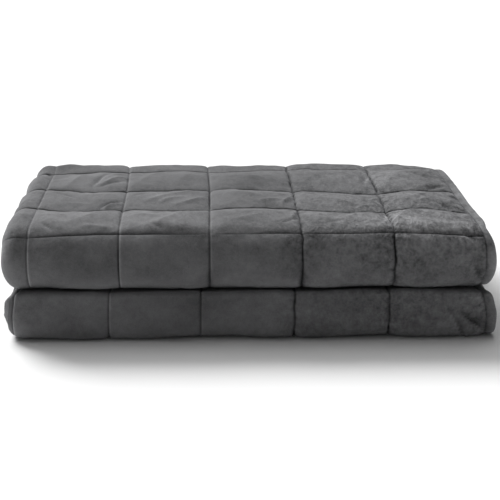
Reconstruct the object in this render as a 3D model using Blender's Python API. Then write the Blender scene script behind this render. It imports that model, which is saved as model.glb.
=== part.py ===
"""Folded quilted weighted blanket: one padded cloth, folded in half across its width,
both ends folded in to the middle, then folded shut. Metres, +Z up, open folds towards -Y,
hems at +X, half-width fold at -X, spine at +Y, resting on z = 0 about the origin."""

import math

import bpy
import numpy as np

# Cloth
PITCH_LOWER = 0.0151  # height that one layer takes in the lower bundle, pressed by the other
PITCH_UPPER = 0.0195  # and in the upper one
AIR = 0.0009  # part of that height that is air between two layers
NIP = 4 * PITCH_LOWER  # height of the plane where the two bundles meet
HEIGHT = NIP + 4 * PITCH_UPPER
HEM_ROUND = 0.0060  # length over which the cloth edge rounds off
HEM_THIN = 0.86  # thickness of the hem strip, as a share of the layer

# Quilting
SQUARE = 0.1120  # side of a quilted square
GROOVE_FREE = 0.0040  # depth of a seam where the face is free
GROOVE_PRESSED = 0.0015  # depth of a seam where the face lies on something
CROWN = 0.0045  # extra rise of a free square at its middle
SHOULDER = 0.06  # share of a square that a seam's slope takes

# Where the quilting is shallower, with its places and widths counted in squares
BACK_EDGE = 0.35  # how far behind the third row the top rounds down into the spine
BACK_EDGE_HALF = 0.30  # half the width of that edge
BACK_EDGE_CALM = 0.65  # how much shallower the seams are there
BACK_EDGE_FLAT = 0.35  # how much flatter the squares are there
ROLL_START = 0.03  # how far past seam 5 the roll of the half-width fold begins
ROLL_FULL = 0.30  # how far past seam 5 it is full
ROLL_CALM = 0.80  # how much shallower the quilting is on that roll

# Section along the blanket, seen from the side: y of each part of the folds
FRONT_LOWER_Y = -0.1890  # where the lower front turn begins
FRONT_UPPER_Y = -0.1862  # where the upper front turn begins
SPINE_Y = 0.1470  # where the spine turn begins
SPINE_REACH = 0.0430  # how far the middle of the spine's two layers reaches behind that
FLAP_LOWER_Y = 0.1460  # back end of the lower inner flap, between its two layers
FLAP_UPPER_Y = 0.1430  # back end of the upper inner flap
FLAP_STAGGER = 0.0180  # how far a flap's layer at the nip reaches past the other one
FLAP_STAGGER_LENGTH = 0.0700  # length over which that shift fades out
TURN_STEPS = 60  # steps of the reference curve in each turn
PRESS_TURN = math.radians(45.0)  # part of a front turn next to the nip that is still pressed

# Row seams of the top panel, back to front, and the first one on the upper front turn
TOP_ROW_Y = (0.1190, 0.0050, -0.1055)
FRONT_ROW_ARC = 0.1030  # length of cloth from the last top row to the row on the front edge

# How far each of those rows looks to stray to the front of its straight line, at each column.
# Half of it is a shift along the cloth, and the rest is the seam lying deeper or higher.
# row, from the back: (seam 5, half way, seam 4, half way, ... seam 1, half way, hem stitch)
ROW_STRAY = {
    "third": (0.002, 0.000, -0.001, -0.003, -0.005, -0.007, -0.008, -0.006, -0.006, -0.008, -0.010),
    "second": (-0.012, 0.013, 0.001, 0.002, 0.003, 0.003, 0.005, 0.014, 0.018, 0.004, 0.015),
    "first": (-0.018, 0.007, 0.000, 0.001, -0.005, -0.018, -0.006, 0.014, 0.012, -0.004, 0.015),
    "front edge": (0.002, -0.003, -0.006, -0.005, -0.004, -0.004, -0.004, -0.004, -0.007, -0.003, 0.004),
}
STRAY_SHIFT = 0.5
STRAY_SINK = 0.135

# Across the blanket: x of the half-width fold, of the column seams and of the hem edge,
# for each part of the section
# part: (fold, seam 5, seam 4, seam 3, seam 2, seam 1, hem stitch, hem edge, inner hem edge)
ACROSS = {
    "lower flap": (-0.2975, -0.2840, -0.1720, -0.0605, 0.0535, 0.1680, 0.2780, 0.2915, 0.2880),
    "lower front": (-0.3000, -0.2925, -0.1744, -0.0617, 0.0532, 0.1691, 0.2890, 0.3025, 0.2900),
    "bottom": (-0.2955, -0.2855, -0.1735, -0.0610, 0.0530, 0.1685, 0.2760, 0.2895, 0.2900),
    "spine": (-0.2940, -0.2690, -0.1660, -0.0550, 0.0570, 0.1690, 0.2660, 0.2795, 0.2800),
    "top": (-0.3000, -0.2690, -0.1610, -0.0500, 0.0610, 0.1742, 0.2760, 0.2900, 0.2890),
    "upper front": (-0.3040, -0.2712, -0.1603, -0.0501, 0.0628, 0.1748, 0.2860, 0.2995, 0.2880),
    "upper flap": (-0.3010, -0.2700, -0.1600, -0.0500, 0.0620, 0.1740, 0.2800, 0.2935, 0.2880),
}

# How square the upper bundle presses the lower front turn (2 is round)
SQUARE_AT_NIP = 8.0
SQUARE_AT_GROUND = 3.0

# Fineness of the mesh
SHARES_FREE = (SHOULDER, 0.32, 0.68, 1.0 - SHOULDER)
SHARES_PRESSED = (SHOULDER, 1.0 - SHOULDER)
TURN_ARC = 0.0115  # longest step of cloth round a turn
SHORTEST_STEP = 0.0040  # rows of points nearer than this are left out, but for seams
FOLD_ANGLES = 6  # steps round the half-width fold
FOLD_ANGLES_HIDDEN = 4
PANEL_STEPS_HIDDEN = 5
INNER_STEPS = 4
END_ROUND = 0.0060  # length over which a flap end rounds off
END_BLUNT = 0.45  # thickness left at the very end of a flap, as a share
SAME = 1e-5  # lengths closer than this are one

CLOTH_COLOUR = (0.060, 0.060, 0.064, 1.0)
CLOTH_ROUGHNESS = 0.95
CLOTH_SHEEN = 0.6


def clear_scene():
    for obj in list(bpy.data.objects):
        bpy.data.objects.remove(obj, do_unlink=True)


def turn_points(centre_y, centre_z, reach, rise, start):
    """Half turn of the middle of two layers, with its outward normals, anticlockwise from start degrees."""
    angle = math.radians(start) + math.pi * np.arange(TURN_STEPS + 1) / TURN_STEPS
    points = np.stack([centre_y + reach * np.cos(angle), centre_z + rise * np.sin(angle)], axis=1)
    normals = np.stack([np.cos(angle) / reach, np.sin(angle) / rise], axis=1)
    return points, normals / np.linalg.norm(normals, axis=1)[:, None]


def line_points(start_y, end_y, height, up):
    points = np.array([[start_y, height], [end_y, height]])
    return points, np.array([[0.0, up], [0.0, up]])


class Path:
    """Side view of the folds: the middle of the doubled cloth from the lower flap to the upper one."""

    def __init__(self):
        low = PITCH_LOWER
        high = PITCH_UPPER
        rise = (low + high) * 3 / 2
        parts = {
            "lower flap": line_points(FLAP_LOWER_Y, FRONT_LOWER_Y, NIP - low, 1.0),
            "lower front": turn_points(FRONT_LOWER_Y, NIP / 2, low, low, 90.0),
            "bottom": line_points(FRONT_LOWER_Y, SPINE_Y, low, -1.0),
            "spine": turn_points(SPINE_Y, low + rise, SPINE_REACH, rise, -90.0),
            "top": line_points(SPINE_Y, FRONT_UPPER_Y, HEIGHT - high, 1.0),
            "upper front": turn_points(FRONT_UPPER_Y, (NIP + HEIGHT) / 2, high, high, 90.0),
            "upper flap": line_points(FRONT_UPPER_Y, FLAP_UPPER_Y, NIP + high, -1.0),
        }
        self.points = np.concatenate([points for points, _ in parts.values()])
        self.normals = np.concatenate([normals for _, normals in parts.values()])
        share = np.clip((self.points[:, 1] - low) / (HEIGHT - high - low), 0.0, 1.0)
        count = len(parts["lower flap"][0]) + len(parts["lower front"][0]) + len(parts["bottom"][0])
        share[:count] = 0.0
        share[count + len(parts["spine"][0]) :] = 1.0
        self.pitches = low + (high - low) * share
        outer = self.points + (self.pitches - AIR / 2)[:, None] * self.normals
        steps = np.linalg.norm(np.diff(outer, axis=0), axis=1)
        self.lengths = np.concatenate([[0.0], np.cumsum(steps)])
        self.ends = {}
        at = 0
        for name, (points, _) in parts.items():
            self.ends[name] = (self.lengths[at], self.lengths[at + len(points) - 1])
            at += len(points)

    def total(self):
        return self.lengths[-1]

    def middle(self, name):
        return sum(self.ends[name]) / 2

    def at(self, length):
        place = np.array([np.interp(length, self.lengths, self.points[:, i]) for i in (0, 1)])
        normal = np.array([np.interp(length, self.lengths, self.normals[:, i]) for i in (0, 1)])
        pitch = float(np.interp(length, self.lengths, self.pitches))
        return place, normal / np.linalg.norm(normal), pitch


def row_seams(path):
    """Lengths along the cloth of all the row seams, in order."""
    top = path.ends["top"][0] + SPINE_Y - np.array(TOP_ROW_Y)
    front = top[-1] + FRONT_ROW_ARC
    behind = np.arange(top[0] - SQUARE, 0.0, -SQUARE)[::-1]
    ahead = np.arange(front + SQUARE, path.total(), SQUARE)
    return np.concatenate([behind, top, [front], ahead])


def freedom(path, length):
    """1 where the outer face is free at this length, 0 where it is pressed flat."""
    for name in ("lower front", "upper front"):
        start, end = path.ends[name]
        if start <= length <= end:
            press = (end - start) * PRESS_TURN / math.pi
            return min(1.0, (length - start) / press, (end - length) / press)
    for name in ("top", "spine"):
        start, end = path.ends[name]
        if start <= length <= end:
            return 1.0
    return 0.0


def row_stations(path, seams):
    """Lengths at which the mesh has a row of points."""
    bounds = np.concatenate([[0.0], seams, [path.total()]])
    stations = [0.0, END_ROUND, path.total() - END_ROUND, path.total()]
    for low, high in zip(bounds[:-1], bounds[1:]):
        free = freedom(path, (low + high) / 2) > 0.0
        shares = SHARES_FREE if free else SHARES_PRESSED
        stations.append(low)
        stations.extend(low + share * (high - low) for share in shares)
    for name in ("lower front", "spine", "upper front"):
        start, end = path.ends[name]
        count = math.ceil((end - start) / TURN_ARC)
        stations.extend(start + (end - start) * np.arange(count + 1) / count)
    stations = np.unique(np.round(stations, 6))
    keep = [stations[0]]
    for station in stations[1:]:
        if station - keep[-1] > SHORTEST_STEP:
            keep.append(station)
        elif np.abs(seams - station).min() < SAME:
            keep[-1] = station
    keep[-1] = path.total()
    return np.array(keep)


def across_at(path, length):
    """The row of ACROSS that holds at this length, blended smoothly between the parts."""
    names = list(ACROSS)
    middles = np.array([path.middle(name) for name in names])
    middles[0] = path.ends["lower flap"][1]
    middles[-1] = path.ends["upper flap"][0]
    after = int(np.clip(np.searchsorted(middles, length), 1, len(names) - 1))
    share = float(np.clip((length - middles[after - 1]) / (middles[after] - middles[after - 1]), 0, 1))
    share = share * share * (3 - 2 * share)
    return (1 - share) * np.array(ACROSS[names[after - 1]]) + share * np.array(ACROSS[names[after]])


class Section:
    """End view of the doubled cloth at one length: outer layer, half-width fold, inner layer."""

    def __init__(self, across, pitch):
        self.pitch = pitch
        self.fold, *seams, stitch, self.hem, self.inner_hem = across
        self.arc_start = self.hem - (self.fold + pitch)
        self.seams = [0.0, self.hem - stitch] + [self.hem - x for x in reversed(seams)]
        self.arc_length = math.pi * pitch
        self.total = self.arc_start + self.arc_length + self.inner_hem - (self.fold + pitch)

    def at(self, length):
        """Point and outward normal of the cloth's middle, as x and height over the path."""
        turned = (length - self.arc_start) / self.arc_length
        if turned <= 0:
            return np.array([self.hem - length, self.pitch / 2]), np.array([0.0, 1.0])
        if turned >= 1:
            back = length - self.arc_start - self.arc_length
            return np.array([self.fold + self.pitch + back, -self.pitch / 2]), np.array([0.0, -1.0])
        angle = math.pi / 2 + math.pi * turned
        normal = np.array([math.cos(angle), math.sin(angle)])
        return np.array([self.fold + self.pitch, 0.0]) + self.pitch / 2 * normal, normal

    def fold_end(self):
        return self.arc_start + self.arc_length

    def past_fold(self):
        """Lengths of the points across the inner layer, from the fold to its hem edge."""
        inner = self.total - self.fold_end()
        stations = [self.fold_end() + inner * step / INNER_STEPS for step in range(1, INNER_STEPS)]
        return stations + [self.total - HEM_ROUND, self.total - HEM_ROUND / 3, self.total]

    def outer_stations(self):
        """Lengths of the points across the face that carries the quilting."""
        stations = [0.0, HEM_ROUND / 3, HEM_ROUND]
        for low, high in zip(self.seams[1:-1], self.seams[2:]):
            stations.append(low)
            stations.extend(low + share * (high - low) for share in SHARES_FREE)
        last = self.seams[-1]
        fold_start = max(last + SHOULDER * SQUARE, self.arc_start)
        turn = self.fold_end() - fold_start
        stations.extend([last, (last + fold_start) / 2])
        stations.extend(fold_start + turn * np.arange(FOLD_ANGLES + 1) / FOLD_ANGLES)
        return stations + self.past_fold()

    def inner_stations(self):
        """Lengths of the points across the face that is hidden in the fold."""
        stations = [0.0, HEM_ROUND / 3, HEM_ROUND]
        stations.extend(self.arc_start * np.arange(1, PANEL_STEPS_HIDDEN) / PANEL_STEPS_HIDDEN)
        turn = self.arc_length * np.arange(FOLD_ANGLES_HIDDEN + 1) / FOLD_ANGLES_HIDDEN
        stations.extend(self.arc_start + turn)
        return stations + self.past_fold()


def place_in(seams, length):
    """Share of its square at which this length lies, between the seams on both sides."""
    after = int(np.searchsorted(seams, length, side="right"))
    if after == 0:
        return float(np.clip(1 - (seams[0] - length) / SQUARE, 0, 1))
    if after == len(seams):
        return float(np.clip((length - seams[-1]) / SQUARE, 0, 1))
    return float((length - seams[after - 1]) / (seams[after] - seams[after - 1]))


def slope(share):
    """0 on a seam, 1 past its shoulder."""
    return min(1.0, share / SHOULDER, (1.0 - share) / SHOULDER)


def bulge(share):
    return 4.0 * share * (1.0 - share)


def plump(share):
    """Like bulge, flatter in the middle."""
    return 1.0 - (1.0 - bulge(share)) ** 2


def soft_step(value, start, end):
    share = min(1.0, max(0.0, (value - start) / (end - start)))
    return share * share * (3.0 - 2.0 * share)


def at_back_edge(path, length):
    """1 at the back edge of the top, fading away from it."""
    middle = path.ends["top"][0] + SPINE_Y - TOP_ROW_Y[0] - BACK_EDGE * SQUARE
    return math.exp(-(((length - middle) / (BACK_EDGE_HALF * SQUARE)) ** 2))


def rounded(distance, reach):
    """Half thickness near an edge, as a share."""
    if distance >= reach:
        return 1.0
    return math.sqrt(max(0.0, 1.0 - (1.0 - distance / reach) ** 2))


def square_up(points):
    """Presses the round lower front turn towards a square, so that the bundles meet close to the front."""
    radius = 2 * PITCH_LOWER
    ahead = np.clip((FRONT_LOWER_Y - points[:, 1]) / radius, 0.0, None)
    height = points[:, 2] / radius - 1.0
    inside = (ahead > 0.0) & (np.abs(height) <= 1.0)
    square = np.where(height > 0.0, SQUARE_AT_NIP, SQUARE_AT_GROUND)
    size = np.hypot(ahead, height) + SAME
    reach = (ahead / size) ** square + (np.abs(height) / size) ** square
    stretch = np.where(inside, reach ** (-1.0 / square), 1.0)
    pressed = points.copy()
    pressed[:, 1] = np.where(inside, FRONT_LOWER_Y - ahead * radius * stretch, points[:, 1])
    pressed[:, 2] = np.where(inside, radius * (1.0 + height * stretch), points[:, 2])
    return pressed


class Stray:
    """How far the row seams of the top stray from straight lines, smoothly between them."""

    def __init__(self, path, seams):
        first = int(np.argmin(np.abs(seams - path.ends["top"][0] - SPINE_Y + TOP_ROW_Y[0])))
        self.lengths = seams[first - 1 : first + len(ROW_STRAY) + 1]
        level = (0.0,) * len(ROW_STRAY["third"])
        self.rows = np.array([level, *ROW_STRAY.values(), level])
        _, *columns = ACROSS["top"][:7]
        halves = np.arange(len(ROW_STRAY["third"])) / 2
        self.columns = np.interp(halves, np.arange(len(columns)), columns)

    def at(self, length, x):
        across = [np.interp(x, self.columns, row) for row in self.rows]
        return float(np.interp(length, self.lengths, across))


def half_thickness(section, across, row, layer, free, back):
    """From the cloth's middle to the face that carries the quilting."""
    past = (across - section.seams[-1]) / SQUARE
    left = 1.0 - ROLL_CALM * soft_step(past, ROLL_START, ROLL_FULL)
    groove = (GROOVE_PRESSED + (GROOVE_FREE - GROOVE_PRESSED) * free) * (1.0 - BACK_EDGE_CALM * back)
    crown = CROWN * free * (1.0 - BACK_EDGE_FLAT * back)
    stitch = section.seams[1]
    if across >= section.fold_end():
        return layer / 2
    if across < stitch - SAME:
        return layer / 2 * HEM_THIN
    column = place_in(section.seams[1:], across) if across > stitch + SAME else 0.0
    pressed_in = groove * (1 - slope(row) * slope(column))
    return layer / 2 + left * (crown * bulge(row) * plump(column) - pressed_in)


def build_points(path, seams, stations):
    """Both faces of the cloth, as a row of points at each length along it."""
    outer = []
    inner = []
    stray = Stray(path, seams)
    for length in stations:
        pitch = path.at(length)[2]
        section = Section(across_at(path, length), pitch)
        free = freedom(path, length)
        back = at_back_edge(path, length)
        row = place_in(seams, length)
        to_end = min(length, path.total() - length)
        end = END_BLUNT + (1 - END_BLUNT) * rounded(to_end, END_ROUND)
        stagger = FLAP_STAGGER * max(0.0, 1.0 - to_end / FLAP_STAGGER_LENGTH) ** 2

        def place(across, half, outer_face):
            point, side = section.at(across)
            astray = stray.at(length, point[0])
            thick = half - STRAY_SINK * astray * outer_face * (across < section.fold_end())
            edge = rounded(min(across, section.total - across), HEM_ROUND)
            local = point + (thick if outer_face else -thick) * edge * end * side
            middle, normal, _ = path.at(length + STRAY_SHIFT * astray)
            yz = middle + local[1] * normal + (stagger * local[1] / pitch, 0.0)
            return (local[0], yz[0], yz[1])

        half = (pitch - AIR) / 2
        outer.append(
            [
                place(across, half_thickness(section, across, row, 2 * half, free, back), True)
                for across in section.outer_stations()
            ]
        )
        inner.append([place(across, half, False) for across in section.inner_stations()])
    return np.array(outer), np.array(inner)


def zipped(left, right):
    """Triangles between two rows of point numbers that share both ends."""
    faces = []
    i = 0
    j = 0
    while i < len(left) - 1 or j < len(right) - 1:
        step_left = (i + 1) / (len(left) - 1) if i < len(left) - 1 else math.inf
        step_right = (j + 1) / (len(right) - 1) if j < len(right) - 1 else math.inf
        if step_left <= step_right:
            corner = (left[i], left[i + 1], right[j])
            i += 1
        else:
            corner = (left[i], right[j + 1], right[j])
            j += 1
        if len(set(corner)) == 3:
            faces.append(corner)
    return faces


def cloth_mesh(outer, inner):
    """Closes the two faces of the cloth: they share both hem edges and are zipped at the flap ends."""
    rows = outer.shape[0]
    inner = inner.copy()
    inner[:, 0] = outer[:, 0]
    inner[:, -1] = outer[:, -1]
    outer_count = outer.shape[1]
    inner_count = inner.shape[1] - 2
    points = np.concatenate([outer.reshape(-1, 3), inner[:, 1:-1].reshape(-1, 3)])
    outer_ids = np.arange(rows * outer_count).reshape(rows, outer_count)
    inner_ids = rows * outer_count + np.arange(rows * inner_count).reshape(rows, inner_count)
    inner_ids = np.concatenate([outer_ids[:, :1], inner_ids, outer_ids[:, -1:]], axis=1)
    faces = []
    for ids, turned in ((outer_ids, False), (inner_ids, True)):
        for j in range(rows - 1):
            for i in range(ids.shape[1] - 1):
                quad = [ids[j, i], ids[j, i + 1], ids[j + 1, i + 1], ids[j + 1, i]]
                faces.append(tuple(quad[::-1] if turned else quad))
    faces.extend(face[::-1] for face in zipped(list(outer_ids[0]), list(inner_ids[0])))
    faces.extend(zipped(list(outer_ids[-1]), list(inner_ids[-1])))
    return points, faces


def cloth_material():
    material = bpy.data.materials.new("blanket_fabric")
    material.use_nodes = True
    shader = material.node_tree.nodes["Principled BSDF"]
    shader.inputs["Base Color"].default_value = CLOTH_COLOUR
    shader.inputs["Roughness"].default_value = CLOTH_ROUGHNESS
    shader.inputs["Sheen Weight"].default_value = CLOTH_SHEEN
    return material


def add_blanket():
    path = Path()
    seams = row_seams(path)
    stations = row_stations(path, seams)
    outer, inner = build_points(path, seams, stations)
    points, faces = cloth_mesh(outer, inner)
    points = square_up(points)
    points[:, 2] = np.maximum(points[:, 2], AIR / 2)
    low = points.min(axis=0)
    high = points.max(axis=0)
    points = points - np.array([(low[0] + high[0]) / 2, (low[1] + high[1]) / 2, low[2]])
    mesh = bpy.data.meshes.new("weighted_blanket")
    mesh.from_pydata([tuple(point) for point in points], [], [tuple(map(int, face)) for face in faces])
    mesh.validate()
    mesh.materials.append(cloth_material())
    mesh.update()
    obj = bpy.data.objects.new("weighted_blanket", mesh)
    bpy.context.scene.collection.objects.link(obj)
    return obj


clear_scene()
add_blanket()
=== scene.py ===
"""Dressed view of the folded weighted blanket: dark grey plush with its quilting, puckers and
creases, on a pale floor under soft light. Metres, in the frame of the CAD model."""

import math

import bpy
import numpy as np
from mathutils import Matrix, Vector


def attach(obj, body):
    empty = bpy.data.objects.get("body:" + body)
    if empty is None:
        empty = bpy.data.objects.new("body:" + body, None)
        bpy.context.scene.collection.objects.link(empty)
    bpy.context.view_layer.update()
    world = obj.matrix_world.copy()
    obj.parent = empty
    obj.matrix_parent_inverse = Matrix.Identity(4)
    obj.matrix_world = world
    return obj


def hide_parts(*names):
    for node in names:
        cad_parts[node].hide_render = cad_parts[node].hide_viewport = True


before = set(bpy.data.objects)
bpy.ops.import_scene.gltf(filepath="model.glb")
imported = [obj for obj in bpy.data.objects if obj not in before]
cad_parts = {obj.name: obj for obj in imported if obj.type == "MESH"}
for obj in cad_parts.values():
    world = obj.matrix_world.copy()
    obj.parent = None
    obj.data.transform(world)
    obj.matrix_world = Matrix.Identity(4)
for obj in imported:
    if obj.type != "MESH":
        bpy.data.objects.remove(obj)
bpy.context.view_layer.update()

# Cloth, as in the CAD model
PITCH_LOWER = 0.0151  # height that one layer takes in the lower bundle
PITCH_UPPER = 0.0195  # and in the upper one
AIR = 0.0009  # part of that height that is air between two layers
NIP = 4 * PITCH_LOWER  # height of the plane where the two bundles meet
HEIGHT = NIP + 4 * PITCH_UPPER
HEM_ROUND = 0.0060  # length over which the cloth edge rounds off
HEM_THIN = 0.86  # thickness of the hem strip, as a share of the layer
CENTRE = (-0.0008, -0.0099)  # middle of the folds before they are centred

# Quilting
SQUARE = 0.1120  # side of a quilted square
GROOVE_FREE = 0.0028  # depth of a seam where the face is free
GROOVE_PRESSED = 0.0012  # depth of a seam where the face lies on something
SEAM_ROLL = 0.0022  # length over which the cloth rolls down into a seam
SLIT_DEEP = 0.0016  # extra depth of the stitched line itself
SLIT_HALF = 0.0009  # half its width
CROWN = 0.0050  # extra rise of a free square at its middle
BACK_EDGE = (3.35, 0.30)  # row at the back of the top where the quilting is shallow, half width
BACK_EDGE_CALM = 0.65  # how much shallower the seams are there
BACK_EDGE_FLAT = 0.35  # how much flatter the squares are there
FRONT_CROWN = {-1: 0.50, 8: 0.50}  # share of the crown that the upper and the lower front have
ROLL_CALM = 0.80  # how much shallower the quilting is on the roll of the half-width fold
ROLL_COLUMNS = (5.03, 5.30)  # where that begins and where it is full
COLUMN_DEEP_TOP = (0.55, 0.75, 0.75, 0.8, 0.45, 0.40)  # depth of the seams on the top: stitch, 1, ... 5
COLUMN_DEEP_FRONT = (0.8, 0.75, 0.75, 0.65, 0.50, 0.45)  # and at the fronts
LOWER_SEAMS = 0.75  # share of that depth that the seams of the lower front have
# Share of its depth that a row seam has, where it isn't all: hem stitch, seam 1, ... seam 5
ROW_DEEP = {0: (0.85, 0.62, 0.22, 0.38, 0.70, 0.55), 3: (0.10, 0.10, 0.25, 0.70, 1.00, 0.90)}
GAP_ROWS = (-0.30, -0.62)  # rows of the upper front over which the right-hand seams open
GAP_WIDER = 1.6  # how much wider they look there
THICK_SEAMS = (1, 2, 3)  # seams that look thick at the fronts
THICKER = 0.5  # how much thicker
WIGGLE_WAVE = 0.0100  # length of the waves of the right-hand seams, which run raggedly
WIGGLE_GROWS = (0.5, 1.0)  # columns over which they grow
WIGGLE_FADES = (2.1, 3.0)  # and over which they fade
FADE = 0.0200  # length over which the quilting fades out past the half-width fold

# Section along the blanket, seen from the side: y of each part of the folds
FRONT_LOWER_Y = -0.1890  # where the lower front turn begins
FRONT_UPPER_Y = -0.1862  # where the upper front turn begins
SPINE_Y = 0.1470  # where the spine turn begins
SPINE_REACH = 0.0430  # how far the middle of the spine's two layers reaches behind that
FLAP_LOWER_Y = 0.1460  # back end of the lower inner flap, between its two layers
FLAP_UPPER_Y = 0.1430  # back end of the upper inner flap
FLAP_STAGGER = 0.0180  # how far a flap's layer at the nip reaches past the other one
FLAP_STAGGER_LENGTH = 0.0700  # length over which that shift fades out
TURN_STEPS = 60  # steps of the reference curve in each turn
PRESS_TURN = math.radians(45.0)  # part of a front turn next to the nip that is still pressed

# Row seams of the top panel, back to front, and the first one on the upper front turn
TOP_ROW_Y = (0.1190, 0.0050, -0.1055)
FRONT_ROW_ARC = 0.1030  # length of cloth from the last top row to the row on the front edge

# How far each of those rows looks to stray to the front of its straight line
# row, from the back: (seam 5, half way, seam 4, half way, ... seam 1, half way, hem stitch)
ROW_STRAY = {
    "third": (0.002, 0.000, -0.001, -0.003, -0.005, -0.007, -0.008, -0.006, -0.006, -0.008, -0.010),
    "second": (-0.012, 0.013, 0.001, 0.002, 0.003, 0.003, 0.005, 0.014, 0.018, 0.004, 0.015),
    "first": (-0.018, 0.007, 0.000, 0.001, -0.005, -0.018, -0.006, 0.014, 0.012, -0.004, 0.015),
    "front edge": (0.002, -0.003, -0.006, -0.005, -0.004, -0.004, -0.004, -0.004, -0.007, -0.003, 0.004),
}
STRAY_SHIFT = 0.5  # share of it that is a shift along the cloth
STRAY_SINK = 0.135  # the rest is the seam lying so much deeper, or higher

# x across the blanket, for each part of the section
# part: (fold, seam 5, seam 4, seam 3, seam 2, seam 1, hem stitch, hem edge, inner hem edge)
ACROSS = {
    "lower flap": (-0.2975, -0.2840, -0.1720, -0.0605, 0.0535, 0.1680, 0.2780, 0.2915, 0.2880),
    "lower front": (-0.3000, -0.2925, -0.1744, -0.0617, 0.0532, 0.1691, 0.2890, 0.3025, 0.2900),
    "bottom": (-0.2955, -0.2855, -0.1735, -0.0610, 0.0530, 0.1685, 0.2760, 0.2895, 0.2900),
    "spine": (-0.2940, -0.2690, -0.1660, -0.0550, 0.0570, 0.1690, 0.2660, 0.2795, 0.2800),
    "top": (-0.3000, -0.2690, -0.1610, -0.0500, 0.0610, 0.1742, 0.2760, 0.2900, 0.2890),
    "upper front": (-0.3040, -0.2712, -0.1603, -0.0501, 0.0628, 0.1748, 0.2860, 0.2995, 0.2880),
    "upper flap": (-0.3010, -0.2700, -0.1600, -0.0500, 0.0620, 0.1740, 0.2800, 0.2935, 0.2880),
}

# How far the hem stitch, the hem edge and the inner one draw in at the front of the top
HEM_EASE = (0.0026, 0.0064, 0.0064)
HEM_EASE_ROWS = (0.22, 0.30)  # row where they draw in most, and half the length over which they do

# How square the upper bundle presses the lower front turn (2 is round)
SQUARE_AT_NIP = 8.0
SQUARE_AT_GROUND = 3.0
SAME = 1e-5  # lengths closer than this are one

# In CREASES and in the table of brushed pile and painted light, columns count from the hem stitch
# to the half-width fold. Rows count from the front edge back over the top and on along the cloth to
# the lower front, and below 0 down the upper front. The other sizes there are in millimetres.
MM = 0.001

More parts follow.
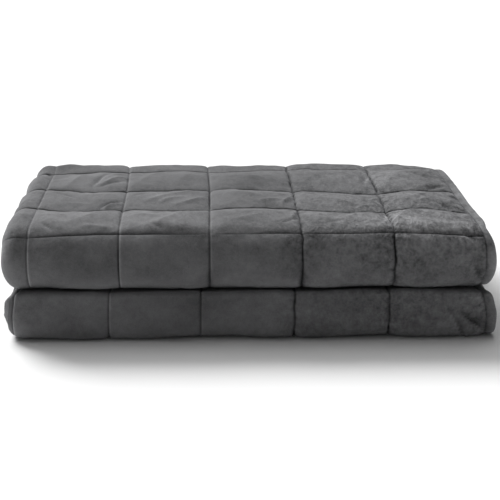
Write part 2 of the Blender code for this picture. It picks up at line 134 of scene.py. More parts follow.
# Creases: (from column, row, to column, row, bow, half width in front, behind, height)
CREASES = (
    # square 5-4, rows 0-1
    (4.66, 0.26, 3.98, 0.96, 0, 20, 12, 2.7),
    (4.9, 0.34, 4.72, 0.09, 1, 4, 4, -2.6),
    (4.42, 0.22, 4.08, 0.12, -2, 7, 6, 1.8),
    (4.94, 0.62, 4.6, 0.7, 2, 6, 5, 1.4),
    # square 5-4, rows 1-2
    (4.26, 1.05, 4.0, 1.42, 7, 3, 3.6, -3.6),
    (4.22, 1.06, 4.02, 1.27, 4, 5, 3.6, 3),
    (4.88, 1.72, 4.56, 1.56, 2, 4, 5.5, -2.2),
    (4.72, 1.3, 4.34, 1.24, 2, 8, 6, 1.5),
    (4.52, 1.8, 4.1, 1.7, 2, 6, 6, 1.4),
    # square 5-4, rows 2-3
    (4.78, 2.02, 4.5, 2.92, 3, 6, 8, 1.8),
    (4.44, 2.16, 4.2, 2.94, 4, 3.4, 4, -2.6),
    (4.38, 2.18, 4.02, 2.5, 3, 3.4, 3.4, -2.8),
    (4.22, 2.72, 4.0, 2.84, 2, 3, 3.4, -2.4),
    (4.34, 2.32, 4.04, 2.66, 3, 3.4, 3, 2),
    # square 4-3, rows 0-1
    (3.7, 0.04, 2.98, 0.98, 0, 22, 9.5, 3.6),
    (3.74, 0.72, 3.46, 0.7, 1, 2.8, 3.4, -2.2),
    (3.9, 0.5, 3.6, 0.56, 1, 6, 5, 1.5),
    (3.66, 0.16, 3.5, 0.06, 1, 5, 4, -2),
    # square 4-3, rows 1-2 and 2-3
    (3.78, 1.3, 3.06, 1.86, 3, 9, 6, 3),
    (3.6, 1.26, 3.3, 1.5, 2, 5, 4, 2),
    (3.44, 1.16, 3.05, 1.5, -3, 5, 5, 2),
    (3.92, 1.62, 3.66, 1.74, 2, 5, 5, -1.6),
    (3.9, 2.26, 3.56, 2.86, 3, 7, 7, 1.2),
    (3.46, 2.2, 3.2, 2.74, 2, 8, 8, 0.9),
    # square 3-2
    (2.16, 1.1, 2.02, 1.62, 2, 3.4, 3.4, 2.4),
    (2.08, 0.34, 2.0, 0.9, 2, 3.6, 3.6, 2.6),
    (2.2, 0.2, 2.02, 0.46, 2, 3.4, 4, -2.2),
    (2.8, 0.3, 2.4, 0.56, -4, 11, 8, 2.2),
    (2.75, 1.7, 2.35, 1.36, 4, 8, 7, 2),
    (2.68, 2.72, 2.3, 2.4, 3, 8, 7, 1.8),
    (2.46, 1.2, 2.14, 1.34, 2, 5, 5, 1.6),
    # square 2-1
    (1.62, 0.28, 1.06, 0.82, 6, 13, 8, 3.4),
    (1.8, 0.16, 1.52, 0.34, 3, 6, 7, -1.6),
    (1.54, 0.66, 1.4, 0.84, 2, 6, 6, -1.2),
    (1.14, 0.2, 1.04, 0.86, -3, 3.4, 4, -2.6),
    (1.78, 1.62, 1.3, 1.26, 4, 8, 6, 2.2),
    (1.36, 1.12, 1.08, 1.26, 2, 4, 4, 2),
    (1.7, 2.3, 1.25, 2.62, -4, 9, 8, 1.2),
    (1.12, 2.3, 1.03, 2.7, 2, 3.4, 4, -2.2),
    # square 1-hem
    (0.94, 0.14, 0.66, 0.86, 8, 11, 9, 3.8),
    (0.64, 0.46, 0.5, 0.88, 4, 5, 6, -3),
    (0.46, 0.4, 0.22, 0.78, 3, 9, 7, 2.6),
    (0.34, 2.04, 0.06, 2.2, 3, 5, 6, -4.2),
    (0.46, 2.76, 0.26, 2.46, 3, 6, 6, -2.8),
    (0.16, 1.7, 0.0, 1.62, 1, 3.6, 4, -3.6),
    (0.34, 1.3, 0.2, 1.06, 2, 4.5, 5, -3.6),
    (0.16, 1.14, 0.0, 1.04, 2, 4, 4.5, -3.6),
    (0.84, 2.34, 0.42, 2.86, 5, 12, 10, 1.8),
    (0.8, 1.4, 0.36, 1.62, 3, 7, 5, 2.6),
    (0.62, 1.22, 0.34, 1.42, 2, 4.5, 4.5, 2),
    (0.2, 0.24, 0.03, -0.02, 1, 3.6, 4, -3.2),
    (0.26, 0.08, 0.08, -0.14, 1, 3.6, 4, -2.8),
    (0.14, 0.46, 0.02, 0.2, 1, 3.4, 3.4, 2.4),
    # past seam 5, on the roll of the half-width fold, and over its back corner
    (5.4, 3.26, 4.64, 3.3, 0, 17, 17, 3.6),
    (5.02, 3.06, 5.3, 2.6, 2, 4.6, 6, -4),
    (5.02, 2.72, 5.34, 2.36, 2, 7, 6, 3.6),
    (5.04, 2.36, 5.34, 2.12, 1, 4, 4.6, -3.2),
    (5.02, 1.78, 5.34, 1.6, 1, 5, 5, 2.8),
    (5.02, 1.4, 5.34, 1.24, 1, 4.4, 4.4, -3),
    (5.02, 1.2, 5.3, 1.1, 1, 4, 4, 2),
    (5.02, 0.62, 5.3, 0.5, 1, 5, 5, 2),
    # back corner of the hems, which droops
    (-0.64, 3.36, 0.5, 3.3, 0, 26, 26, -5),
    # swell of the lower bundle into the gap under the upper one
    (5.9, 8.7, -0.7, 8.7, 0, 7, 6, 4.2),
    # upper front
    (4.3, -0.2, 4.06, -0.6, 2, 14, 14, -1),
    (4.6, -0.7, 4.48, -0.78, 1, 3.4, 3.4, -2.6),
    (4.84, -0.72, 4.72, -0.8, 1, 3.4, 3.4, -2.2),
    (3.4, -0.62, 3.28, -0.74, 1, 3.6, 3.6, -2.2),
    (0.2, -0.3, 0.06, -0.6, 2, 6, 6, -3.2),
    (0.28, -0.76, 0.06, -0.7, 1, 3.4, 3.4, -3),
    # lower front
    (0.42, 8.58, 0.2, 8.1, 3, 3.4, 3.6, -3.6),
    (0.3, 8.54, -0.02, 8.28, -2, 6, 4, -4.6),
    (0.2, 8.7, 0.03, 8.56, 2, 5, 5, 2.6),
    (0.26, 8.24, 0.06, 8.14, 1, 5, 4, 2.2),
    (5.06, 8.76, 5.12, 8.26, 2, 2.2, 2.2, -2.4),
    (5.14, 8.78, 5.2, 8.24, 2, 2.2, 2.2, 2.4),
    (5.22, 8.7, 5.28, 8.28, 2, 2.2, 2.2, -2.4),
    (5.3, 8.7, 5.36, 8.28, 2, 2.4, 2.4, 2.2),
)
CREASE_CREST = 1.4  # how round a crease is on its crest: 1 is an edge, 2 a soft hill
CREASE_TAPER = 0.7  # how steeply a crease rises from its two ends: 1 is a sine
CREASE_SHADE = 0.75  # how much painted light and shade its slopes get: the colour lighter on one side of its line, darker on the other

# Unevenness of the padded squares. noise: (size of the waves, height)
WAVES = {"large waves": (0.0580, 0.0021), "waves": (0.0280, 0.0012), "small waves": (0.0130, 0.0004)}
PUCKER_WAVE = 0.0085  # wavelength of the puckers along a seam
PUCKER_LONG = 0.0240  # their length away from it
PUCKER_HIGH = 0.0011
PUCKER_FADE = 0.0100
PUCKER_GAIN = (0.65, 0.60)  # their usual strength, and how far it swings from place to place
PUCKER_PATCH = 2.3  # such places to a square
WOBBLE_WAVE = 0.0420  # how the seams themselves waver
WOBBLE = 0.0009

# Pile brushed lighter or darker, and painted light and shade: (column, row, half width, half length,
# tone)
NAP_AND_PAINTED_LIGHT = (
    # top, rows 0-1
    (4.4, 0.8, 48, 20, 0.36),
    (4.48, 0.46, 56, 26, 0.24),
    (4.2, 0.62, 20, 12, 0.16),
    (4.84, 0.2, 16, 12, -0.24),
    (3.72, 0.74, 36, 26, 0.46),
    (3.3, 0.86, 30, 12, 0.26),
    (3.36, 0.5, 48, 26, 0.34),
    (3.5, 0.22, 56, 16, 0.44),
    (4.5, 0.2, 56, 14, 0.16),
    (1.5, 0.12, 50, 12, 0.25),
    (0.5, 0.2, 60, 18, 0.5),
    (3.56, 0.1, 12, 10, -0.26),
    (2.55, 0.86, 50, 14, 0.18),
    (2.2, 0.2, 20, 18, -0.22),
    (1.28, 0.58, 30, 30, 0.42),
    (1.72, 0.2, 24, 18, -0.24),
    (1.52, 0.78, 12, 14, -0.22),
    (0.82, 0.42, 16, 42, 0.42),
    (0.66, 0.84, 18, 14, 0.3),
    (0.6, 0.5, 13, 30, -0.32),
    (0.36, 0.62, 24, 24, 0.26),
    # top, rows 1-2
    (4.14, 1.2, 14, 10, 0.22),
    (4.28, 1.36, 12, 18, -0.2),
    (4.6, 1.86, 60, 12, 0.14),
    (3.84, 1.6, 18, 14, -0.14),
    (3.45, 1.48, 40, 20, 0.18),
    (2.55, 1.84, 50, 14, 0.18),
    (2.12, 1.45, 10, 30, -0.24),
    (1.45, 1.45, 44, 30, 0.2),
    (0.7, 1.6, 34, 20, 0.22),
    (0.05, 1.65, 8, 12, -0.52),
    (0.24, 1.16, 14, 14, -0.44),
    (0.05, 1.06, 8, 10, -0.5),
    # top, rows 2-3
    (4.45, 2.6, 50, 50, 0.18),
    (4.8, 2.5, 20, 30, -0.08),
    (4.12, 2.4, 20, 20, 0.14),
    (2.45, 2.2, 50, 34, -0.2),
    (0.74, 2.55, 44, 38, 0.24),
    (0.3, 2.6, 14, 40, -0.26),
    (0.18, 2.1, 16, 20, -0.46),
    (2.5, 2.55, 50, 50, -0.1),
    # roll of the half-width fold, and the hem
    # painted light and shade: light and dark stripes over the wrinkles of the roll, and the roll and the
    # left end of the upper front painted lighter where they face the light
    (5.22, 2.84, 14, 8, -0.34),
    (5.22, 2.52, 16, 16, 0.34),
    (5.24, 2.14, 14, 6, -0.38),
    (5.24, 1.8, 14, 18, 0.28),
    (5.24, 1.34, 14, 6, -0.32),
    (5.35, 2.6, 20, 60, 0.3),
    (5.35, 1.2, 20, 140, 0.24),
    (5.3, -0.18, 14, 22, 0.55),
    (5.36, -0.36, 16, 50, 0.55),
    (-0.1, -0.34, 12, 18, 0.4),
    (-0.06, -0.8, 16, 16, -0.35),
    (-0.3, 2.0, 20, 300, 0.2),
    # upper front
    (4.2, -0.42, 34, 26, -0.3),
    (4.56, -0.6, 50, 30, -0.08),
    (4.3, -0.76, 20, 8, 0.24),
    (4.26, -0.68, 12, 8, 0.18),
    (4.6, -0.75, 7, 5, -0.4),
    (4.86, -0.79, 6, 4, -0.4),
    (3.34, -0.73, 9, 6, -0.36),
    (3.6, -0.14, 44, 12, 0.12),
    (2.2, -0.44, 30, 24, -0.12),
    (0.55, -0.14, 46, 22, 0.26),
    (0.14, -0.5, 14, 20, -0.42),
    (0.5, -0.6, 60, 36, -0.12),
    # painted light: a band along the foot of the upper front, against its shade at the nip
    (2.6, -0.65, 600, 13, 0.34),
    # lower front
    # painted light: wide bands lighten the lower front in the shade under the upper bundle and towards
    # the floor
    (2.6, 8.7, 600, 6, 0.3),
    (4.0, 8.1, 180, 30, 0.16),
    (2.6, 8.1, 600, 34, 0.46),
    (4.2, 8.5, 130, 50, 0.12),
    (0.12, 8.41, 13, 9, -0.45),
    (0.11, 8.62, 12, 8, 0.28),
    (0.13, 8.18, 14, 6, 0.3),
    (5.1, 8.5, 3, 30, 0.4),
)
HEM_PAINTED_LIGHT = (-0.15, 0.50)  # painted light and shade of the hem strip, beside the stitch and at its edge
HEM_COLUMNS = 0.12  # its width, in squares
ROW_PAINTED_SHADE = 0.14  # painted light and shade: how much lighter a square is at its back than at its front

# How dark the painted shade in the groove of a column seam is, where the pile also parts, on the top and
# at the fronts, and how light the painted highlight beside it is: hem stitch, seam 1, ... seam 5
COLUMN_DARK_TOP = (0.05, 0.62, 0.60, 0.50, 0.22, 0.15)
COLUMN_DARK_FRONT = (0.50, 0.75, 0.75, 0.62, 0.66, 0.40)
COLUMN_HIGHLIGHT_TOP = (0.10, 0.10, 0.14, 0.34, 0.40, 0.40)
COLUMN_HIGHLIGHT_FRONT = (0.10, 0.25, 0.40, 0.70, 1.10, 1.20)
ROW_DARK_TOP = 0.76  # how dark the painted shade is over a row seam of the top, where the pile also parts
ROW_DARK_EDGE = 0.18  # and over the one at the front edge and below
DARK_HALF = 0.0011  # half the width of a dark line
ROW_DARK_HALF = 0.0022  # and of one over a row seam of the top
ROW_THICKER = 0.6  # how much wider the row seams look where the pile is ruffled
EDGE_SHADE = 0.22  # painted shade: how much darker the pile is just below the front edge
EDGE_SHADE_REACH = 0.045  # in squares
TOP_THICK_SEAMS = (1, 2)  # seams that look thick and ragged on the top
TOP_THICKER = 0.8  # how much thicker
TOP_BEGINS = 0.125  # the marks of the top take over within this of the front edge, in squares
HIGHLIGHT_ASIDE = 0.0019  # how far beside a seam the painted highlight lies
HIGHLIGHT_HALF = 0.0008  # half its width

# Noises. name: (seed, and where on its lattice it starts, along each side)
NOISES = {
    "large waves": (11, 3.7, 5.3),
    "waves": (12, 3.7, 5.3),
    "small waves": (13, 3.7, 5.3),
    "row puckers": (31, 0.0, 7.1),
    "column puckers": (37, 2.9, 0.0),
    "row gain": (41, 0.0, 1.7),
    "column gain": (43, 4.1, 0.0),
    "wobble": (53, 9.3, 0.0),
    "dark columns": (61, 1.3, 0.0),
    "dark rows": (67, 2.2, 0.0),
    "highlight columns": (71, 0.0, 0.0),
    "ragged columns": (83, 0.0, 0.0),
}
# Those along the seams. name: (swing, length of a wave in squares, lattice cells from seam to seam)
SEAM_NOISES = {
    "dark columns": (0.50, 0.250, 5.1),
    "dark rows": (0.45, 0.250, 7.3),
    "highlight columns": (0.50, 0.125, 3.7),
    "ragged columns": (0.0011, WIGGLE_WAVE / SQUARE, 3.1),
}
LATTICE = 256  # side of the table of random numbers behind a noise

# Fineness of the mesh
NEAR_SEAM = (0.0, 0.0008, 0.0017, 0.0030, 0.0050)  # stations next to a seam
STEP_ACROSS = 0.0028  # longest step across a square
STEP_FRONT = 0.0028  # and along it, at the fronts, on the top, at the spine and where it is hidden
STEP_TOP = 0.0042
STEP_SPINE = 0.0085
STEP_HIDDEN = 0.0280
HEM_STATIONS = (0.0, 0.05, 0.15, 0.30, 0.46, 0.62, 0.78, 0.90)  # shares of the hem strip
EDGE_STATIONS = (1.0, 0.55, 0.25, 0.08, 0.0)  # shares of the rounded edge of the inner hem
FOLD_STEPS = 23  # steps round the half-width fold
FOLD_STEPS_HIDDEN = 8
INNER_STEPS = 5  # steps across the inner layer
PANEL_STEPS_HIDDEN = 5  # and across the hidden face of the outer one
END_ROUND = 0.0060  # length over which a flap end rounds off
END_BLUNT = 0.45  # thickness left at the very end of a flap, as a share

# Plush
PLUSH = (0.128, 0.128, 0.131)
PLUSH_SHADER = {
    "Roughness": 0.92,
    "Specular IOR Level": 0.15,
    "Sheen Weight": 0.16,
    "Sheen Roughness": 0.50,
    "Sheen Tint": (0.80, 0.82, 0.86, 1.0),
}
# Noises of the pile. name: (size as waves to a metre, detail, roughness, swing of the tone)
PILE = {
    "patches": (17.0, 3.0, 0.55, 1.1),
    "streaks": (122.0, 3.0, 0.58, 1.8),
    "tufts": (300.0, 2.0, 0.55, 1.1),
    "fibre": (1300.0, 2.0, 0.55, 0.8),
}
BRUSHED = ("streaks", "tufts")  # those that are drawn out along the cloth and show where it is ruffled
BRUSHED_SCALE = (1.0, 0.55, 1.0)
MARK_SWING = 1.6  # how unevenly the marks of creases and seams show in ruffled pile
DARKEST = 0.25  # least share of the colour that is left
STREAK_RELIEF = 1.6  # height of the streaks, for tufts of height 1
FIBRE_RELIEF = 0.45
PILE_BUMP = (0.8, 0.0018)  # strength, distance
FUR_LEFT = 0.35  # how ruffled the pile is at the smooth left end
FUR_COLUMNS = (3.0, 0.8)  # between these it grows to the ruffled right end
FUR_ALONG = ((-0.4, 0.62), (0.1, 1.25), (1.2, 1.1), (2.0, 0.85), (3.0, 0.70))  # (row, share)
FUR_SEAM = 0.7  # more of it beside the seams there
FUR_SEAM_REACH = 0.012
FUR_HEM = 0.55  # share of it that the hem has

# Camera, light and floor
CAMERA_PLACE = (-0.0432, -2.0741, 0.6220)
CAMERA_DOWN = math.radians(15.19)
CAMERA_TURN = math.radians(-1.31)
CAMERA_LENS = 115.2
CAMERA_SENSOR = 36.0
# name: (where it comes from, strength, angle that it fills)
SUNS = {
    "key": ((-0.50, 0.80, 0.76), 3.8, math.radians(30.0)),
    "overhead": ((-0.20, 0.42, 1.0), 1.4, math.radians(70.0)),
    "fill": ((-0.35, -0.93, 0.16), 0.27, math.radians(100.0)),
}
AMBIENT = 0.07
WHITE = (1.0, 1.0, 1.0, 1.0)
FLOOR_HALF = 9.0
FLOOR_SHADER = {"Base Color": (0.90, 0.90, 0.90, 1.0), "Roughness": 0.85, "Specular IOR Level": 0.1}
FLOOR_GRAIN = (60.0, 3.0)  # waves to a metre, detail
FLOOR_BUMP = (0.02, 0.001)  # strength, distance


def ease(share):
    """Smooth step from 0 to 1."""
    return share * share * (3.0 - 2.0 * share)


def soft_step(value, start, end):
    return ease(np.clip((value - start) / (end - start), 0.0, 1.0))


def turn_points(centre_y, centre_z, reach, rise, start):
    """Half turn of the middle of two layers, anticlockwise from start degrees, with its normals."""
    angle = math.radians(start) + math.pi * np.arange(TURN_STEPS + 1) / TURN_STEPS
    points = np.stack([centre_y + reach * np.cos(angle), centre_z + rise * np.sin(angle)], axis=1)
    normals = np.stack([np.cos(angle) / reach, np.sin(angle) / rise], axis=1)
    return points, normals / np.linalg.norm(normals, axis=1)[:, None]


def line_points(start_y, end_y, height, up):
    """Straight part of the middle of two layers, with its normals."""
    points = np.array([[start_y, height], [end_y, height]])
    return points, np.array([[0.0, up], [0.0, up]])


class Path:
    """Side view of the folds: the middle of the doubled cloth from the lower flap to the upper one."""

    def __init__(self):
        low = PITCH_LOWER
        high = PITCH_UPPER
        rise = (low + high) * 3 / 2  # half the way up from the bottom to the top
        parts = {
            "lower flap": line_points(FLAP_LOWER_Y, FRONT_LOWER_Y, NIP - low, 1.0),
            "lower front": turn_points(FRONT_LOWER_Y, NIP / 2, low, low, 90.0),
            "bottom": line_points(FRONT_LOWER_Y, SPINE_Y, low, -1.0),
            "spine": turn_points(SPINE_Y, low + rise, SPINE_REACH, rise, -90.0),
            "top": line_points(SPINE_Y, FRONT_UPPER_Y, HEIGHT - high, 1.0),
            "upper front": turn_points(FRONT_UPPER_Y, (NIP + HEIGHT) / 2, high, high, 90.0),
            "upper flap": line_points(FRONT_UPPER_Y, FLAP_UPPER_Y, NIP + high, -1.0),
        }
        self.points = np.concatenate([points for points, _ in parts.values()])
        self.normals = np.concatenate([normals for _, normals in parts.values()])
        share = np.clip((self.points[:, 1] - low) / (HEIGHT - high - low), 0.0, 1.0)
        count = len(parts["lower flap"][0]) + len(parts["lower front"][0]) + len(parts["bottom"][0])
        share[:count] = 0.0
        share[count + len(parts["spine"][0]) :] = 1.0
        self.pitches = low + (high - low) * share
        outer = self.points + (self.pitches - AIR / 2)[:, None] * self.normals
        steps = np.linalg.norm(np.diff(outer, axis=0), axis=1)
        self.lengths = np.concatenate([[0.0], np.cumsum(steps)])
        self.ends = {}
        at = 0
        for name, (points, _) in parts.items():
            self.ends[name] = (self.lengths[at], self.lengths[at + len(points) - 1])
            at += len(points)

    def total(self):
        return self.lengths[-1]

    def middle(self, name):
        return sum(self.ends[name]) / 2

    def pitch(self, length):
        return np.interp(length, self.lengths, self.pitches)

    def at(self, length):
        """y, z and outward normal at each of these lengths."""
        y, z = (np.interp(length, self.lengths, self.points[:, i]) for i in (0, 1))
        ny, nz = (np.interp(length, self.lengths, self.normals[:, i]) for i in (0, 1))
        size = np.hypot(ny, nz)
        return y, z, ny / size, nz / size


def row_seams(path):
    """Lengths along the cloth of all the row seams, in order."""
    top = path.ends["top"][0] + SPINE_Y - np.array(TOP_ROW_Y)
    front = top[-1] + FRONT_ROW_ARC
    behind = np.arange(top[0] - SQUARE, 0.0, -SQUARE)[::-1]
    ahead = np.arange(front + SQUARE, path.total(), SQUARE)
    return np.concatenate([behind, top, [front], ahead])


def first_top_row(path, seams):
    """Number of the row seam at the back of the top, in their order along the cloth."""
    return int(np.argmin(np.abs(seams - path.ends["top"][0] - SPINE_Y + TOP_ROW_Y[0])))


def freedom(path, length):
    """1 where the outer face is free at this length, 0 where it is pressed flat."""
    free = np.zeros_like(length)
    for name in ("lower front", "upper front"):
        start, end = path.ends[name]
        press = (end - start) * PRESS_TURN / math.pi
        free = np.maximum(free, np.minimum((length - start) / press, (end - length) / press))
    for name in ("top", "spine"):
        start, end = path.ends[name]
        free = np.where((length >= start) & (length <= end), 1.0, free)
    top_end = path.ends["top"][1]
    free = np.where((length > top_end) & (length < path.middle("upper front")), 1.0, free)
    return np.clip(free, 0.0, 1.0)


def between_seams(low, high, step):
    """Stations from one seam up to the next: close together beside both."""
    if step > STEP_SPINE:
        return np.linspace(low, high, math.ceil((high - low) / step) + 1)[:-1]
    near = np.array(NEAR_SEAM)
    start = low + near[-1]
    end = high - near[-1]
    middle = np.linspace(start, end, math.ceil((end - start) / step) + 1)
    return np.concatenate([low + near[:-1], middle, (high - near[1:-1])[::-1]])


def row_stations(path, seams):
    """Lengths at which the mesh has a row of points."""
    bounds = np.concatenate([[0.0], seams, [path.total()]])
    spine = path.ends["spine"]
    fronts = (path.ends["lower front"], path.ends["upper front"])
    top = path.ends["top"]
    found = [np.array([0.0, END_ROUND / 3, END_ROUND])]
    found.append(path.total() - found[0])
    for low, high in zip(bounds[:-1], bounds[1:]):
        step = STEP_HIDDEN
        if min(high, spine[1]) > max(low, spine[0]):
            step = STEP_SPINE
        if min(high, top[1]) > max(low, top[0]):
            step = STEP_TOP
        if any(min(high, end) > max(low, start) for start, end in fronts):
            step = STEP_FRONT
        found.append(between_seams(low, high, step))
    stations = np.unique(np.concatenate(found))
    return stations[np.concatenate([[True], np.diff(stations) > NEAR_SEAM[1] / 2])]


def across_at(path, lengths):
    """The row of ACROSS that holds at each length, blended smoothly between the parts."""
    table = np.array(list(ACROSS.values()))
    middles = np.array([path.middle(name) for name in ACROSS])
    middles[0] = path.ends["lower flap"][1]
    middles[-1] = path.ends["upper flap"][0]
    after = np.clip(np.searchsorted(middles, lengths), 1, len(middles) - 1)
    share = soft_step(lengths, middles[after - 1], middles[after])[:, None]
    return (1 - share) * table[after - 1] + share * table[after]


class Section:
    """End view of the doubled cloth at every length: outer layer, half-width fold, inner layer."""

    def __init__(self, across, pitch):
        self.pitch = pitch[:, None]
        columns = [across[:, i : i + 1] for i in range(across.shape[1])]
        self.fold, *seams, stitch, self.hem, inner_hem = columns
        self.arc_start = self.hem - (self.fold + self.pitch)
        self.arc_length = math.pi * self.pitch
        self.fold_end = self.arc_start + self.arc_length
        self.total = self.fold_end + inner_hem - (self.fold + self.pitch)
        self.seams = [self.hem - stitch] + [self.hem - x for x in reversed(seams)]

    def at(self, across):
        """x, height over the path and outward normal of the cloth's middle."""
        turned = np.clip((across - self.arc_start) / self.arc_length, 0.0, 1.0)
        angle = math.pi / 2 + math.pi * turned
        x = self.fold + self.pitch + self.pitch / 2 * np.cos(angle)
        x = x + np.maximum(self.arc_start - across, 0.0) + np.maximum(across - self.fold_end, 0.0)
        return x, self.pitch / 2 * np.sin(angle), np.cos(angle), np.sin(angle)

    def past_fold(self):
        """Lengths of the points across the inner layer, past the half-width fold."""
        inner = self.total - self.fold_end
        steps = [self.fold_end + inner * step / INNER_STEPS for step in range(1, INNER_STEPS)]
        return steps + [self.total - HEM_ROUND * share for share in EDGE_STATIONS]

    def outer_stations(self):
        """Lengths of the points across the face that carries the quilting."""
        found = [self.seams[0] * share for share in HEM_STATIONS]
        shares = between_seams(0.0, SQUARE, STEP_ACROSS) / SQUARE
        for low, high in zip(self.seams[:-1], self.seams[1:]):
            found.extend(low + share * (high - low) for share in shares)
        last = self.seams[-1]
        found.extend(last + near for near in NEAR_SEAM[:-1])
        start = last + NEAR_SEAM[-1]
        turn = self.fold_end - start
        found.extend(start + turn * step / FOLD_STEPS for step in range(FOLD_STEPS + 1))
        return np.concatenate(found + self.past_fold(), axis=1)

    def inner_stations(self):
        """Lengths of the points across the face that is hidden in the fold."""
        found = [self.seams[0] * share for share in HEM_STATIONS]
        steps = range(1, PANEL_STEPS_HIDDEN)
        found.extend(self.arc_start * step / PANEL_STEPS_HIDDEN for step in steps)
        steps = range(FOLD_STEPS_HIDDEN + 1)
        found.extend(self.arc_start + self.arc_length * step / FOLD_STEPS_HIDDEN for step in steps)
        return np.concatenate(found + self.past_fold(), axis=1)


def curve_through(x, places, values):
    """Values at x on a smooth curve through these, level past its ends."""
    slopes = np.gradient(values, places)
    before = np.clip(np.searchsorted(places, x) - 1, 0, len(places) - 2)
    step = places[before + 1] - places[before]
    t = np.clip((x - places[before]) / step, 0.0, 1.0)
    straight = (1.0 - ease(t)) * values[before] + ease(t) * values[before + 1]
    return straight + t * (1.0 - t) * step * ((1.0 - t) * slopes[before] - t * slopes[before + 1])


class Stray:
    """How far the row seams of the top stray from straight lines, smoothly between them."""

    def __init__(self, path, seams):
        first = first_top_row(path, seams)
        self.lengths = seams[first - 1 : first + len(ROW_STRAY) + 1]
        level = (0.0,) * len(ROW_STRAY["third"])
        self.rows = np.array([level, *ROW_STRAY.values(), level])
        _, *columns = ACROSS["top"][:7]
        halves = np.arange(len(ROW_STRAY["third"])) / 2
        self.columns = np.interp(halves, np.arange(len(columns)), columns)

    def at(self, length, x):
        found = np.zeros_like(x)
        for i in range(len(self.lengths)):
            others = np.eye(len(self.lengths))[i]
            here = curve_through(x, self.columns, self.rows[i])
            found += np.interp(length, self.lengths, others) * here
        return found


def soft_noise(name, u, v):
    """Smooth noise from -1 to 1 over a lattice of unit cells."""
    seed, start_u, start_v = NOISES[name]
    table = np.random.default_rng(seed).uniform(-1.0, 1.0, (LATTICE, LATTICE))
    i = np.floor(u + start_u).astype(int)
    j = np.floor(v + start_v).astype(int)
    s = ease(u + start_u - i)
    t = ease(v + start_v - j)
    corners = [table[(i + di) % LATTICE, (j + dj) % LATTICE] for di in (0, 1) for dj in (0, 1)]
    near = corners[0] + (corners[1] - corners[0]) * t
    far = corners[2] + (corners[3] - corners[2]) * t
    return near + (far - near) * s


def seam_noise(name, along, seam):
    """Swing along a seam, another for each seam by its number."""
    swing, wave, apart = SEAM_NOISES[name]
    return swing * soft_noise(name, along / wave, seam * apart)


def count_of(seams, place):
    """Place counted in squares: whole numbers are seams, and it goes on evenly past the last ones."""
    found = np.minimum(place - seams[0], 0.0) / SQUARE
    for low, high in zip(seams[:-1], seams[1:]):
        found = found + np.clip((place - low) / (high - low), 0.0, 1.0)
    return found + np.maximum(place - seams[-1], 0.0) / SQUARE


def from_seam(count, last=math.inf):
    """Distance to the nearest seam, for a place counted in squares. There is none past the last one."""
    nearest = np.minimum(np.round(count), last)
    return np.abs(count - nearest) * SQUARE


def bulge(count):
    """0 on the seams and 1 half way between them."""
    share = count - np.floor(count)
    return 4.0 * share * (1.0 - share)


def plump(count):
    """Like bulge, flatter in the middle."""
    return 1.0 - (1.0 - bulge(count)) ** 2


def roll(distance):
    """0 on a seam, 1 away from it."""
    return 1.0 - np.exp(-distance / SEAM_ROLL)


def slit(distance):
    """1 on the stitched line of a seam, 0 away from it."""
    return np.exp(-((distance / SLIT_HALF) ** 2))


def rounded(distance, reach):
    """Half thickness near an edge, as a share."""
    left = np.clip(1.0 - distance / reach, 0.0, 1.0)
    return np.sqrt(np.maximum(1.0 - left * left, 0.0))


def waves(column, row):
    """Unevenness of the padding."""
    high = np.zeros_like(column)
    for name, (size, height) in WAVES.items():
        scale = SQUARE / size
        high += height * soft_noise(name, column * scale, row * scale)
    return high


def puckers(column, row, to_column, to_row):
    """Small gathers that run out from each seam and fade."""
    fine = SQUARE / PUCKER_WAVE
    long = SQUARE / PUCKER_LONG
    usual, swing = PUCKER_GAIN
    high = np.zeros_like(column)
    for name, across, along, distance in (("row", fine, long, to_row), ("column", long, fine, to_column)):
        gain = usual + swing * soft_noise(name + " gain", column * PUCKER_PATCH, row * PUCKER_PATCH)
        gathers = soft_noise(name + " puckers", column * across, row * along)
        high += gathers * gain * np.exp(-distance / PUCKER_FADE)
    return PUCKER_HIGH * high


def creases(column, row):
    """Rise of the creases, and the painted light and shade on their slopes."""
    high = np.zeros_like(column)
    tone = np.zeros_like(column)
    for column_a, row_a, column_b, row_b, *sizes in CREASES:
        bow, half_front, half_behind, height = (MM * size for size in sizes)
        along = np.array([column_b - column_a, row_b - row_a]) * SQUARE
        size = float(np.hypot(*along))
        ahead = ((column - column_a) * along[0] + (row - row_a) * along[1]) * SQUARE / size
        aside = ((column - column_a) * along[1] - (row - row_a) * along[0]) * SQUARE / size
        share = np.clip(ahead / size, 0.0, 1.0)
        aside = aside - bow * bulge(share)
        half = np.where(aside < 0.0, half_front, half_behind)
        away = np.abs(aside) / half
        rise = height * np.sin(math.pi * share) ** CREASE_TAPER * np.exp(-(away**CREASE_CREST))
        high += rise
        # painted light and shade: each slope lighter or darker by its steepness and the side it faces
        tone += CREASE_SHADE * rise * CREASE_CREST * away ** (CREASE_CREST - 1.0) / half * np.sign(aside)
    return high, tone


def nap_and_painted_light(column, row):
    """How much lighter or darker the pile is brushed, with the light and shade painted in."""
    tone = np.zeros_like(column)
    for at_column, at_row, half_width, half_length, value in NAP_AND_PAINTED_LIGHT:
        across = (column - at_column) * SQUARE / (MM * half_width)
        along = (row - at_row) * SQUARE / (MM * half_length)
        tone += value * np.exp(-across * across - along * along)
    return tone


def back_edge(row):
    """1 at the back edge of the top, fading away from it."""
    middle, half = BACK_EDGE
    return np.exp(-(((row - middle) / half) ** 2))


def along_seams(column, share_top, front, top):
    """Value for each point from a table for the fronts and one for the top, by the nearest seam."""
    front_value, top_value = (np.interp(column, np.arange(len(table)), table) for table in (front, top))
    return (1.0 - share_top) * front_value + share_top * top_value


def row_depth(column, row):
    """Share of its full depth that the nearest row seam has."""
    found = np.ones_like(column)
    for number, depths in ROW_DEEP.items():
        here = np.interp(column, np.arange(len(depths)), depths)
        found = np.where(np.round(row) == number, here, found)
    return found


